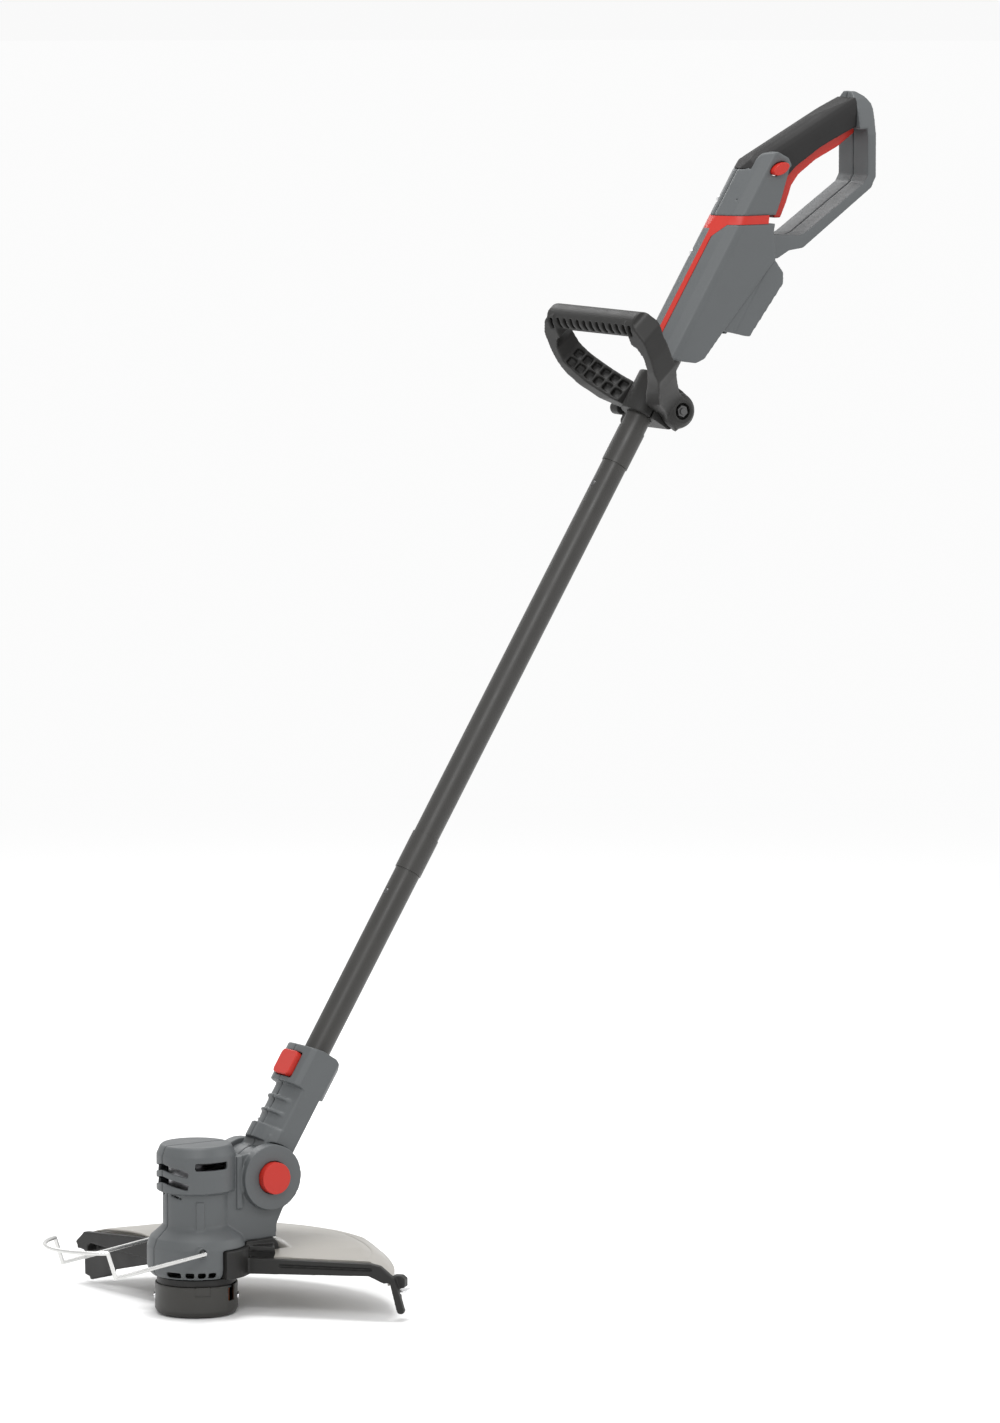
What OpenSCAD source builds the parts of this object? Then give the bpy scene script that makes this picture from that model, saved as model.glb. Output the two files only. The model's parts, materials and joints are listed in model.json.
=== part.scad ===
// Cordless string trimmer: motor head with cutting line, three-part shaft, front handle
// and rear grip housing. Millimetres. The spool turns about the Z axis, and z = 0 is the
// underside of its cap. The shaft leans towards +X, where the user stands.
// "s" is a distance along the shaft from the tilt pivot. Left is -Y, right is +Y.

/* [Shaft] */
// Outer diameter of the aluminium tube
tube_d = 24; // [24:0.5:24]
// Wall of the tube
tube_wall = 1.5; // [1.2:0.1:2]
// Lean of the shaft from the vertical, degrees
lean = 32; // [32:1:32]
// Tilt pivot, distance behind the motor axis
pivot_x = 63; // [63:1:64]
// Tilt pivot, height above the underside of the spool cap
pivot_z = 122.5; // [122:0.5:123]
// Seam between the lower and the middle tube, along the shaft
lower_seam = 313; // [300:1:330]
// Seam between the middle and the upper tube, along the shaft
upper_seam = 744; // [720:1:760]
// Length of the swaged socket at each seam
socket_len = 37; // [30:1:40]
// Distance of each snap button below its seam
button_drop = 26; // [22:1:30]

/* [Rear housing] */
// Half width of the housing
housing_y = 27.5; // [26:0.5:29]
// Wall of the moulded shells
wall = 2.5; // [2:0.1:3]
// Half width of the rear loop
loop_y = 24.5; // [22:0.5:25]
// Half width of the rubber grip
grip_y = 18.5; // [17:0.5:19]
// Half width of the trigger
trigger_y = 7.5; // [6:0.5:8]

/* [Front handle] */
// Position of the handle along the shaft
handle_s = 815; // [810:1:820]
// Clamp bolt, distance behind the axis of the shaft
bolt_x = 20; // [19.5:0.5:21]
// Tilt of the handle from the vertical, towards the front, degrees
handle_tilt = 42; // [40:1:44]
// Radius of the two bosses
boss_r = 17; // [16:0.5:18]

/* [Head] */
// Radius of the motor housing
motor_r = 30.4; // [30:0.1:31]
// Radius of the vented collar
collar_r = 36; // [35:0.5:36]
// Radius of the base ring
base_r = 45; // [44:0.5:46]
// Height of the flat top of the head
head_top = 156; // [154:1:158]
// Radius of the two joint cheeks
cheek_r = 30; // [29:0.5:30]
// Half width over the joint cheeks
cheek_y = 32; // [31:0.5:33]
// Half width of the neck below the joint
neck_y = 24; // [23.5:0.5:24]
// Radius of the tilt release button
tilt_button_r = 14.6; // [13:0.2:15]
// Radius of the motor shaft
spindle_r = 4; // [4:0.5:4]

/* [Spool] */
// Radius of the spool cap
cap_r = 37.8; // [37:0.2:39]
// Height of the spool cap
cap_h = 28.7; // [28:0.1:29]
// Diameter of the cutting line
line_d = 1.6; // [1.2:0.2:2]

/* [Guard] */
// Radius of the rim
guard_r = 181; // [178:1:184]
// First edge of the guard, degrees from +X
guard_from = -48; // [-50:1:-45]
// Last edge of the guard, degrees from +X
guard_to = 96; // [94:1:98]
// Radius of the plant guard wire
wire_r = 1.9; // [1.5:0.1:2]

/* [Hidden] */
$fn = 64;

housing_gray = [0.37, 0.39, 0.41];
dark_gray = [0.28, 0.30, 0.31];
black = [0.13, 0.13, 0.13];
red = [0.80, 0.20, 0.16];
steel = [0.75, 0.75, 0.76];
shield_gray = [0.72, 0.70, 0.67];
copper = [0.72, 0.45, 0.25];

big = 400;
tube_r = tube_d / 2;
bore_r = tube_r - tube_wall;
running = 0.05;

// The neck is where the upper housing meets the lower one: origin of the rear outlines
neck = [600, 984];
band_h = 10;

// Cross-section of the housing, x to the rear and y across
housing_section = [[-27.4, 4.8], [-27.4, -4.8], [-24.8, -8.6], [-20, -18],
    [-13, -housing_y + 2], [-7, -housing_y], [70, -housing_y], [70, housing_y],
    [-7, housing_y], [-13, housing_y - 2], [-20, 18], [-24.8, 8.6]];
spine_y = 4.8;
stripe_y = 8.6;

// Side outline of the lower housing in the frame of the shaft: x to the rear, s up
lower_side = [[-30, 852], [-11, 852], [13, 862], [19, 870], [24, 902], [39.5, 989],
    [24.5, 1009], [16, 1030], [-30, 1030]];
// Side outlines around the neck: x to the rear, z up
upper_side = [[-60, -2], [21.5, -2], [27.6, 12.3], [31.5, 26], [36.5, 39.5], [39.5, 44],
    [36, 51], [24, 57], [13, 55.5], [2, 47.3], [-5, 40.8], [-60, 40.8]];
// The same, without the cheek on the left that carries the lock-off button
upper_side_right = [[-60, -2], [21.5, -2], [27.6, 12.3], [32, 26], [36, 37], [22, 40.8],
    [-60, 40.8]];
// Inner face of that cheek, distance from the centre plane
cheek_in = 14;
core_side = [[-14, 30], [34, 30], [53, 48], [80, 63], [96, 70.8], [125, 83], [125, 96], [106, 96.5],
    [83, 87], [62, 78], [41, 68], [21, 57.5], [4, 45.5]];
grip_side = [[-9, 34], [42, 34], [50.5, 42.5], [79, 60], [96, 67.8], [120.5, 78.5],
    [120.5, 105.3], [107, 100.2], [90, 93.8], [62, 82.5], [40, 72.3], [20, 61.3], [3, 49], [-9, 38]];
loop_side = [[119.5, 90], [119.5, 75], [128, 76], [128, 32], [124, 25], [56, -20], [50, -22],
    [10, -19], [10, -43], [25, -43], [38, -36], [54, -34], [132, 20], [137.5, 30], [137.5, 99],
    [133, 106], [126, 110.5], [120.5, 110.5], [119.5, 104]];
// Rear outline of the loop, [across, up]: full width below, crowned at the top
loop_rear = [[-loop_y - 5, -60], [loop_y + 5, -60], [loop_y + 5, 60], [loop_y, 70],
    [22, 84], [19.5, 94], [14, 103], [6, 111], [-6, 111], [-14, 103], [-19.5, 94], [-22, 84],
    [-loop_y, 70], [-loop_y - 5, 60]];
band_side = [[-60, -2], [13, -2], [12, -band_h], [-28.5, -band_h], [-41, -21], [-70, -21]];

// Trigger outline around the neck, and its pivot at the rear end of the grip
trigger_pivot = [117, 80];
trigger_side = [[124, 76], [123.5, 71.5], [105, 59], [79.5, 47.2], [60, 34], [52, 24], [46.3, 8.5],
    [39.4, -6], [32, -6], [33, 12], [42, 32], [54, 45], [80, 58], [112, 82]];
trigger_room = [[126.5, 79], [126.5, 66], [107, 56], [78, 43], [58, 30], [50, 20], [45, 8],
    [40, -8], [20, -8], [20, 14], [32, 40], [50, 56], [80, 68], [112, 86.5], [126.5, 86.5]];

lock_off_at = [24, 41.2];

battery_side = [[16, 900], [24, 903], [49.7, 912], [54, 914], [60.5, 975], [55, 984], [40, 989.5],
    [22, 980], [14, 960]];

coupling_top = 125;
coupling_block = [[-23.3, 4], [-23.3, -4], [-22, -12], [-19, -20], [-14, -24], [13, -24],
    [19, -18], [19, 18], [13, 24], [-14, 24], [-19, 20], [-22, 12]];
coupling_waist = [[-17.4, 4], [-17.4, -4], [-16, -10], [-13, -16.5], [-9, -22.6], [-6.5, -24],
    [12, -24], [12, 24], [-6.5, 24], [-9, 22.6], [-13, 16.5], [-16, 10]];
coupling_foot = [[-23.2, 5], [-23.2, -5], [-20, -13], [-15, -18.5], [-9, -24], [12, -24],
    [12, 24], [-9, 24], [-15, 18.5], [-20, 13]];
coupling_rib = [[-20.6, 5], [-20.6, -5], [-17.8, -13], [-12, -18.5], [-8, -22.4], [-8, 22.4],
    [-12, 18.5], [-17.8, 13]];
tongue_r = 26;
tongue_y = 19;

// Handle outlines: half of the front view as [across, up], and the side view as [depth, up]
handle_outer = [[27, -13], [30, 6], [50, 29], [68, 49], [78.5, 62], [84, 84], [84, 104],
    [75, 117], [50, 124]];
handle_inner = [[56, 101], [66, 98], [72, 89], [70, 76], [57, 60], [44, 48], [24, 30],
    [20.5, 20], [20.5, -13]];
handle_depth = [[-15, -13], [-16, 12], [-22.5, 32], [-23.3, 50], [-20.5, 74], [-13, 99],
    [-8, 115], [-3, 122.5], [2.8, 125], [9.5, 123], [14.3, 118], [15, 108], [9, 94], [4, 68],
    [3, 45], [5, 22], [10, 8], [13, -13]];
// Round bar across the top of the handle: centre [depth, up] and radius
bar_at = [4.5, 111];
bar_r = 12;
handle_arc = 3.5;
bolt_r = 3;

collar_from = 114;
collar_to = 147;
ring_bottom = 36;
neck_gap = 29;
guard_z = 62;
beam_w = 7;
beam_top = 51.5;
facet_slope = 8;
saddle_x = 71.7;
saddle_y = 29.5;
wire_pivot = [-19, 44, 62];
wire_leg_y = 47.5;
eyelet_angles = [-32, 148];

// ---- helpers ----

// Children in the frame of the shaft: origin on the tilt pivot, +Z up the shaft
module on_shaft(s = 0) {
    translate([pivot_x, 0, pivot_z]) rotate([0, lean, 0]) translate([0, 0, s]) children();
}

// Children in the frame of the neck of the rear housing
module at_neck() {
    translate([neck.x, 0, neck.y]) children();
}

// A side outline, [x, z], extruded to the width w across, centred on y
module slab(w, y = 0) {
    translate([0, y + w / 2, 0]) rotate([90, 0, 0]) linear_extrude(w) children();
}

// A cylinder along Y from y0 to y1 at the point p = [x, z]
module cross_rod(r, y0, y1, p = [0, 0]) {
    translate([p.x, y1, p.y]) rotate([90, 0, 0]) cylinder(r = r, h = y1 - y0);
}

module left_half() {
    intersection() {
        children();
        translate([-big, -big, -big]) cube([4 * big, big, 5 * big]);
    }
}

module right_half() {
    intersection() {
        children();
        translate([-big, 0, -big]) cube([4 * big, big, 5 * big]);
    }
}

function unit(v) = v / norm(v);

// An outline, counter-clockwise, moved inwards by d
function inset(p, d) = [for (i = [0 : len(p) - 1])
    let (m = len(p), a = unit(p[i] - p[(i + m - 1) % m]), b = unit(p[(i + 1) % m] - p[i]),
        na = [-a.y, a.x], nb = [-b.y, b.x])
    p[i] + d * (na + nb) / (1 + na * nb)];

// An outline with every corner rounded to the radius r, in n steps
function rounded(p, r, n = 4) = [for (i = [0 : len(p) - 1])
    let (m = len(p), u = unit(p[(i + m - 1) % m] - p[i]), v = unit(p[(i + 1) % m] - p[i]),
        half = acos(u * v) / 2, back = r / tan(half),
        c = p[i] + unit(u + v) * r / sin(half),
        from = p[i] + u * back - c, to = p[i] + v * back - c)
    for (k = [0 : n]) c + r * unit(from * (n - k) / n + to * k / n)];

function mirrored(p) = [for (i = [len(p) - 1 : -1 : 0]) [-p[i].x, p[i].y]];

// A ring stack that stands for a compressed coil spring, along Z from 0 to h
module spring_rings(r, wire, h, turns) {
    for (i = [0 : turns - 1])
        translate([0, 0, wire + i * (h - 2 * wire) / (turns - 1)])
            rotate_extrude() translate([r, 0]) circle(r = wire, $fn = 16);
}

// ---- rear housing ----

module housing_prism(d = 0) {
    on_shaft(0) translate([0, 0, 840]) linear_extrude(340)
        polygon(d == 0 ? housing_section : inset(housing_section, d));
}

module below_neck(z) {
    translate([0, -big, 0]) cube([2 * neck.x, 2 * big, neck.y + z]);
}

module lower_body(d = 0) {
    intersection() {
        housing_prism(d);
        on_shaft(0) slab(200) polygon(rounded(inset(lower_side, d), 2));
        below_neck(-band_h - d);
    }
}

// Side outlines of the upper housing, extruded: the left one has the cheek
module upper_sides(d = 0) {
    at_neck() {
        slab(housing_y - 1 - cheek_in - 2 * d, -(housing_y - 1 + cheek_in) / 2)
            polygon(inset(upper_side, d));
        slab(2 * (housing_y - 1 - d)) polygon(inset(upper_side_right, d));
    }
}

module upper_body(d = 0) {
    intersection() {
        housing_prism(d);
        upper_sides(d);
    }
}

module neck_column(d = 0) {
    intersection() {
        housing_prism(wall + 0.2 + d);
        at_neck() translate([-60, -big, -band_h - 5]) cube([70 - d, 2 * big, band_h + 10]);
    }
}

module loop_solid(d = 0) {
    intersection() {
        at_neck() slab(2 * (loop_y - d)) polygon(inset(loop_side, d));
        at_neck() rotate([90, 0, 90]) linear_extrude(200) polygon(inset(loop_rear, d));
    }
}

// A prism of the rounded section of the grip, d inside its surface
module grip_prism(d = 0) {
    at_neck() translate([50, 0, 56]) rotate([0, -27, 0]) rotate([90, 0, 90])
        translate([0, 0, -90]) linear_extrude(200)
            polygon(grip_section(grip_y - d, 17 - d, 40 - d));
}

module grip_core(d = 0) {
    intersection() {
        at_neck() slab(2 * grip_y) polygon(inset(core_side, d));
        grip_prism(3 + d);
        housing_prism(d);
    }
}

// Points [x, z] around the neck where the two shells are screwed together
lower_screws = [[-16, 880], [12, 885], [-19, 960], [10, 985]];
rear_screws = [[-14, 12], [5, 30], [128.5, 93], [133, 45], [92, -3]];

module at_housing_screws() {
    for (p = lower_screws) on_shaft(0) translate([p.x, 0, p.y]) children();
    for (p = rear_screws) at_neck() translate([p.x, 0, p.y]) children();
}

// Cut that leaves room for the spine, the stripes and the facet below the band
module accent_rebate() {
    difference() {
        union() {
            at_neck() slab(200) polygon([[-28.5, -band_h], [-41, -21], [-75, -21], [-75, -4],
                [-21, -4]]);
            on_shaft(0) slab(2 * stripe_y) polygon([[-45, 845], [-20, 845], [-20, 990],
                [-45, 990]]);
        }
        housing_prism(wall);
    }
}

module housing_solid() {
    difference() {
        union() {
            lower_body();
            upper_body();
            neck_column();
            loop_solid();
            grip_core();
        }
        accent_rebate();
    }
}

module housing_cavity() {
    difference() {
        union() {
            lower_body(wall + wall);
            upper_body(wall);
            neck_column(wall);
            loop_solid(2.2);
            grip_core(2.2);
        }
        at_housing_screws() cross_rod(4.2, -big, big);
        // Socket that grips the end of the tube
        on_shaft(850) cylinder(r = tube_r + 3, h = 36);
    }
}

module rear_housing() {
    difference() {
        housing_solid();
        housing_cavity();
        at_neck() slab(2 * (trigger_y + 0.7)) polygon(trigger_room);
        at_neck() cross_rod(2, -12, 12, trigger_pivot);
        on_shaft(840) cylinder(r = tube_r, h = 46);
        on_shaft(0) slab(50.6) polygon(battery_side);
        at_housing_screws() {
            cross_rod(1.8, -16, big);
            cross_rod(3.6, 13, big);
        }
        // Passage of the lock-off button through the left wall
        at_neck() translate([lock_off_at.x, -12, lock_off_at.y]) rotate([0, -25, 0])
            oval_rod(9.9, 5.5, -big, 0);
        at_neck() cross_rod(9, -22, -12, lock_off_at);
    }
}

module rear_housing_left() {
    color(housing_gray) left_half() rear_housing();
}

module rear_housing_right() {
    color(housing_gray) right_half() rear_housing();
}

module spine_solid() {
    difference() {
        intersection() {
            housing_prism();
            on_shaft(0) slab(2 * spine_y) polygon([[-40, 852], [-20, 852], [-20, 983], [-40, 983]]);
        }
        housing_prism(wall);
    }
}

module spine_cover() {
    color(housing_gray) spine_solid();
}

module accent_solid() {
    difference() {
        union() {
            intersection() {
                housing_prism();
                at_neck() slab(200) polygon(band_side);
            }
            intersection() {
                housing_prism();
                on_shaft(0) slab(2 * stripe_y) polygon([[-40, 852], [-20, 852], [-20, 990], [-40, 990]]);
            }
        }
        housing_prism(wall);
        spine_solid();
    }
}

module accent_band() {
    color(red) accent_solid();
}

// Rounded cross-section of the grip, [across, up], around its centre line
function grip_section(h, up, down) = [for (a = [0 : 15 : 345])
    [h * sign(cos(a)) * pow(abs(cos(a)), 0.8), (sin(a) > 0 ? up : down) * sin(a)]];

module grip_overmould() {
    color(black) difference() {
        intersection() {
            at_neck() slab(2 * grip_y) polygon(grip_side);
            grip_prism();
            housing_prism();
        }
        grip_core();
        upper_sides();
        loop_solid();
        at_neck() slab(2 * (trigger_y + 0.7)) polygon(trigger_room);
        lock_off_room();
        at_neck() cross_rod(2, -12, 12, trigger_pivot);
    }
}

module lock_off_room() {
    at_neck() cross_rod(12, -big, -12, lock_off_at);
}

module battery_bay() {
    color(housing_gray) difference() {
        on_shaft(0) slab(50) polygon(battery_side);
        // Slot for the foot of the pack, open at the lower end, with a rail on each side
        on_shaft(890) translate([27, -19, 0]) cube([24, 38, 76]);
        on_shaft(890) translate([33, -21.5, 0]) cube([12, 43, 76]);
        on_shaft(890) translate([38, -14, 0]) cube([big, 28, 66]);
    }
}

module battery_terminals() {
    color(copper) on_shaft(946) translate([29, 0, 0]) for (y = [-12, -4, 4, 12])
        translate([0, y - 0.6, 0]) cube([8, 1.2, 20]);
}

module control_board() {
    color([0.1, 0.35, 0.2]) on_shaft(0) {
        translate([-4, -17, 905]) cube([1.6, 34, 62]);
        translate([-2.4, -10, 915]) cube([6, 20, 14]);
        translate([-2.4, -12, 940]) cube([9, 10, 12]);
    }
}

module trigger_switch() {
    color(black) at_neck() translate([-6, -6, 8]) cube([22, 12, 14]);
}

module switch_lever() {
    color(steel) at_neck() translate([16, -3, 16]) cube([3, 6, 4]);
}

module housing_screws() {
    color(steel) at_housing_screws() {
        cross_rod(1.8, -15, 13.5);
        cross_rod(3.5, 13.2, 16.2);
    }
}

module trigger_pin() {
    color(steel) at_neck() cross_rod(2, -12, 12, trigger_pivot);
}

module trigger() {
    color(red) difference() {
        union() {
            at_neck() slab(2 * trigger_y) polygon(trigger_side);
            at_neck() cross_rod(5, -trigger_y, trigger_y, trigger_pivot);
        }
        at_neck() cross_rod(2 + running, -big, big, trigger_pivot);
    }
}

// A rod of oval section along Y, long along X
module oval_rod(a, b, y0, y1) {
    translate([0, y1, 0]) rotate([90, 0, 0]) linear_extrude(y1 - y0)
        polygon([for (t = [0 : 15 : 345]) [a * cos(t), b * sin(t)]]);
}

module lock_off_button() {
    color(red) at_neck() translate([lock_off_at.x, 0, lock_off_at.y]) rotate([0, -25, 0]) {
        oval_rod(9.4, 5, -32, -22);
        oval_rod(7, 4, -22.5, -17.5);
    }
}

// ---- shaft ----

module tube(from, to) {
    on_shaft(from) difference() {
        cylinder(r = tube_r, h = to - from);
        translate([0, 0, -1]) cylinder(r = bore_r, h = to - from + 2);
    }
}

// Swaged socket of the upper of two tubes, over its last stretch
module socket(seam) {
    on_shaft(seam) difference() {
        cylinder(r = tube_r + 0.8, h = socket_len);
        translate([0, 0, -1]) cylinder(r = tube_r - 0.5, h = socket_len + 2);
    }
}

module snap_hole(seam) {
    on_shaft(seam - button_drop) rotate([0, -90, 0]) cylinder(r = 3.3, h = 2 * tube_d);
}

module shaft_upper() {
    color(black) {
        tube(upper_seam, 882);
        socket(upper_seam);
    }
}

module shaft_middle() {
    color(black) {
        difference() {
            tube(lower_seam, upper_seam);
            snap_hole(upper_seam);
        }
        socket(lower_seam);
    }
}

module shaft_lower() {
    color(black) difference() {
        tube(62, lower_seam);
        snap_hole(lower_seam);
    }
}

module spigot(seam) {
    difference() {
        on_shaft(seam - 50) cylinder(r = bore_r, h = 90);
        on_shaft(seam - 51) cylinder(r = 7, h = 92);
        snap_hole(seam);
    }
}

module joint_spigots() {
    color(dark_gray) {
        spigot(lower_seam);
        spigot(upper_seam);
    }
}

module snap_button(seam) {
    color(steel) on_shaft(seam - button_drop) rotate([0, -90, 0])
        translate([0, 0, 6]) {
            cylinder(r = 3.2, h = tube_r - 6.4);
            translate([0, 0, tube_r - 6.4]) cylinder(r1 = 3.2, r2 = 2, h = 1);
        }
}

module snap_button_upper() {
    snap_button(upper_seam);
}

module snap_button_lower() {
    snap_button(lower_seam);
}

module wire_harness() {
    color(black) on_shaft(0) {
        translate([0, 0, 66]) cylinder(r = 2.6, h = 836, $fn = 24);
        translate([0, 0, 58]) cylinder(r = 6, h = 8, $fn = 24);
    }
}

module swivel_collar() {
    color(black) on_shaft(64) difference() {
        cylinder(r = 15.7, h = 12);
        translate([0, 0, -1]) cylinder(r = tube_r, h = 14);
    }
}

// ---- front handle ----

module at_handle() {
    on_shaft(handle_s) translate([bolt_x, 0, 0]) rotate([0, -lean - handle_tilt, 0]) children();
}

module clamp_shape() {
    difference() {
        union() {
            on_shaft(handle_s - 19) cylinder(r = 19, h = 40);
            on_shaft(handle_s) slab(40) polygon(rounded([[0, -19], [bolt_x + 4, -19],
                [bolt_x + 12, -8], [bolt_x + 12, 8], [bolt_x + 4, 19], [0, 21]], 3));
        }
        on_shaft(handle_s - 30) cylinder(r = tube_r, h = 70);
        on_shaft(handle_s) cross_rod(bolt_r + running, -big, big, [bolt_x, 0]);
    }
}

module clamp_front() {
    color(black) intersection() {
        clamp_shape();
        on_shaft(handle_s) translate([-60, -40, -60]) cube([59.5, 80, 120]);
    }
}

module clamp_rear() {
    color(black) intersection() {
        clamp_shape();
        on_shaft(handle_s) translate([0.5, -40, -60]) cube([60, 80, 120]);
    }
}

module handle_ring() {
    outline = concat(handle_outer, mirrored(handle_outer), mirrored(handle_inner), handle_inner);
    rotate([90, 0, 90]) translate([0, 0, -40]) linear_extrude(80)
        polygon(rounded(outline, handle_arc));
}

module front_handle() {
    color(black) at_handle() difference() {
        union() {
            intersection() {
                handle_ring();
                slab(2 * big) polygon(handle_depth);
                union() {
                    translate([-big, -big, -100]) cube([2 * big, 2 * big, 192]);
                    for (side = [-1, 1]) translate([-big, side * 110 - 50, 60]) cube([2 * big, 100, 80]);
                }
            }
            cross_rod(bar_r, -72, 72, bar_at);
            // Bosses, domed towards their outer faces
            for (side = [-1, 1]) rotate([side * -90, 0, 0]) translate([0, 0, 20.5])
                rotate_extrude() polygon([[0, 0], [boss_r, 0], [boss_r, 5], [15.5, 9],
                    [11, 13], [0, 13]]);
        }
        cross_rod(bolt_r + 0.06, -big, big);
        cross_rod(7.7, -36, -28);
        slab(41) circle(r = 38);
    }
}

module handle_nut() {
    color(steel) at_handle() difference() {
        translate([0, -28, 0]) rotate([90, 0, 0]) cylinder(r = 5.7, h = 4.6, $fn = 6);
        cross_rod(bolt_r + running, -big, big);
    }
}

module clamp_bolt() {
    color(steel) at_handle() cross_rod(bolt_r, -34, 42);
}

module clamp_knob() {
    color(black) at_handle() difference() {
        union() {
            cross_rod(9, 34, 45);
            cross_rod(11.2, 44.8, 60);
            for (a = [0 : 72 : 288]) rotate([0, a, 0]) cross_rod(6.5, 45.3, 58, [15, 0]);
        }
        cross_rod(bolt_r, 30, 42);
    }
}

// ---- coupling ----

module shaft_prism(outline, from, to) {
    translate([0, 0, from]) linear_extrude(to - from) polygon(outline);
}

module coupling_solid() {
    on_shaft(0) {
        intersection() {
            union() {
                shaft_prism(coupling_block, 85, coupling_top);
                shaft_prism(coupling_waist, 32, 86);
                shaft_prism(coupling_foot, 27, 42);
            }
            slab(60) polygon([[-24, 27], [-24, 42], [-18, 80], [-24, 87], [-24, 122],
                [-8, coupling_top], [9, coupling_top], [15, 122], [19, 118], [19, 86],
                [13, 81], [13, 27]]);
        }
        // Grip ribs on the front and on the back of the waist
        for (s = [56, 70]) {
            shaft_prism(coupling_rib, s - 1.5, s + 1.5);
            translate([12, -14, s - 1.5]) cube([2, 28, 3]);
        }
        // Tongue between the cheeks
        slab(2 * tongue_y) circle(r = tongue_r);
        slab(2 * tongue_y) polygon([[-16, 10], [8, 10], [11, 34], [-16, 34]]);
    }
}

module coupling() {
    difference() {
        coupling_solid();
        on_shaft(0) {
            // Room for the cheeks of the head on both sides of the tongue
            cross_rod(cheek_r + 0.7, -big, -tongue_y - 0.1);
            cross_rod(cheek_r + 0.7, tongue_y + 0.1, big);
            translate([0, 0, 60]) cylinder(r = tube_r + running, h = 90);
            translate([0, 0, 63.5]) cylinder(r = 16.2, h = 13);
            translate([0, 0, 20]) cylinder(r = 8.5, h = 45);
            cross_rod(6 + running, -big, big);
            // Pocket of the release button
            slab(27) polygon([[-40, 90], [-15.8, 90], [-15.8, 115], [-40, 115]]);
            at_coupling_screws() {
                cross_rod(1.5, -14, big);
                cross_rod(3, 14, big);
            }
        }
    }
}

module at_coupling_screws() {
    for (p = [[14, 96], [14, 114], [-11.6, 47]]) translate([p.x, 0, p.y]) children();
}

module coupling_left() {
    color(housing_gray) left_half() coupling();
}

module coupling_right() {
    color(housing_gray) right_half() coupling();
}

module coupling_screws() {
    color(steel) on_shaft(0) at_coupling_screws() {
        cross_rod(1.5, -13, 14.5);
        cross_rod(2.9, 14, 16);
    }
}

module edging_button() {
    color(red) on_shaft(102.5) difference() {
        rotate([0, -90, 0]) translate([0, 0, 18.6]) linear_extrude(7.2)
            polygon(rounded([[-12, -13], [12, -13], [12, 13], [-12, 13]], 4.5));
        translate([-21, 0, 0]) rotate([0, 90, 0]) cylinder(r = 6.5, h = 8);
    }
}

module edging_spring() {
    color(steel) on_shaft(102.5) translate([-18.5, 0, 0]) rotate([0, 90, 0])
        spring_rings(5.2, 0.4, 2.6, 3);
}

// ---- motor head ----

head_profile = [[0, ring_bottom], [40, ring_bottom], [base_r - 1, ring_bottom + 4],
    [base_r, ring_bottom + 9], [base_r, 63], [base_r - 3, 71], [33, 79], [motor_r, 82],
    [motor_r, collar_from - 2], [collar_r, collar_from], [collar_r, collar_to], [32.8, head_top - 1.8],
    [31, head_top], [0, head_top]];
cheek_side = [[20, 64], [71, 66], [71.5, 78], [78, 91], [86, 103], [70, 125], [60, 145],
    [40, 145], [20, 143]];

module cheeks_solid() {
    slab(2 * neck_y) polygon(cheek_side);
    cross_rod(cheek_r, -cheek_y, cheek_y, [pivot_x, pivot_z]);
    // Upright flange in front of each cheek
    slab(2 * neck_y + 5) polygon([[28, 96], [34, 96], [34, 144], [28, 144]]);
}

// Space between the cheeks for the tongue, over the whole tilt
module tongue_room() {
    slab(2 * (tongue_y + 0.4)) translate([pivot_x, pivot_z]) {
        circle(r = tongue_r + 0.6);
        polygon([[-tongue_r - 0.6, 0], [-18, -19], [40, -19], [60, 10], [60, 60],
            [-tongue_r - 0.6, 60]]);
    }
}

module head_solid() {
    difference() {
        union() {
            rotate_extrude() polygon(head_profile);
            difference() {
                cheeks_solid();
                tongue_room();
            }
        }
        // The guard's collar closes the rear of the base ring
        translate([2, -big, -1]) cube([big, 2 * big, guard_z + 1]);
    }
}

module head_cavity() {
    rotate_extrude() polygon([[0, ring_bottom - 1], [37, ring_bottom - 1], [base_r - wall, 42],
        [base_r - wall, 62], [base_r - wall - 3, 69], [31, 76.5], [28, 81], [28, collar_from],
        [collar_r - wall, collar_from + 3], [collar_r - wall, collar_to - 1], [29, head_top - wall - 2],
        [0, head_top - wall]]);
    // Hollow of the neck, under the joint
    difference() {
        slab(2 * (neck_y - wall)) polygon([[20, 67], [68, 69], [68, 76], [62, 90], [20, 90]]);
        cross_rod(4.2, -big, big, [52, 76]);
    }
}

module vent_slots() {
    for (side = [0, 1]) mirror([0, side, 0]) {
        // Two slanted slots round the front, with a slit below them
        for (z = [134.5, 123]) rotate([0, 0, 204]) translate([0, 0, z]) rotate([-11, 0, 0])
            translate([23, -14.5, -2.7]) cube([30, 29, 5.4]);
        rotate([0, 0, 202]) translate([0, 0, 110]) rotate([-15, 0, 0])
            translate([24, -6, -0.8]) cube([20, 12, 1.6]);
        // Wide slot at the side of the collar
        sector(-122, -67) polygon([[26, 135.5], [45, 135.5], [45, 142], [26, 142]]);
        // Row of air slots at the foot of the base ring
        for (a = [[201, 220], [226, 236.5], [241, 250.5], [254, 263.5]])
            sector(a[0], a[1]) polygon([[34, 38], [50, 38], [50, 43], [34, 43]]);
    }
}

module at_head_screws() {
    for (p = [[52, 76], [-37, 66], [0, 151]]) translate([p.x, 0, p.y]) children();
}

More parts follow.
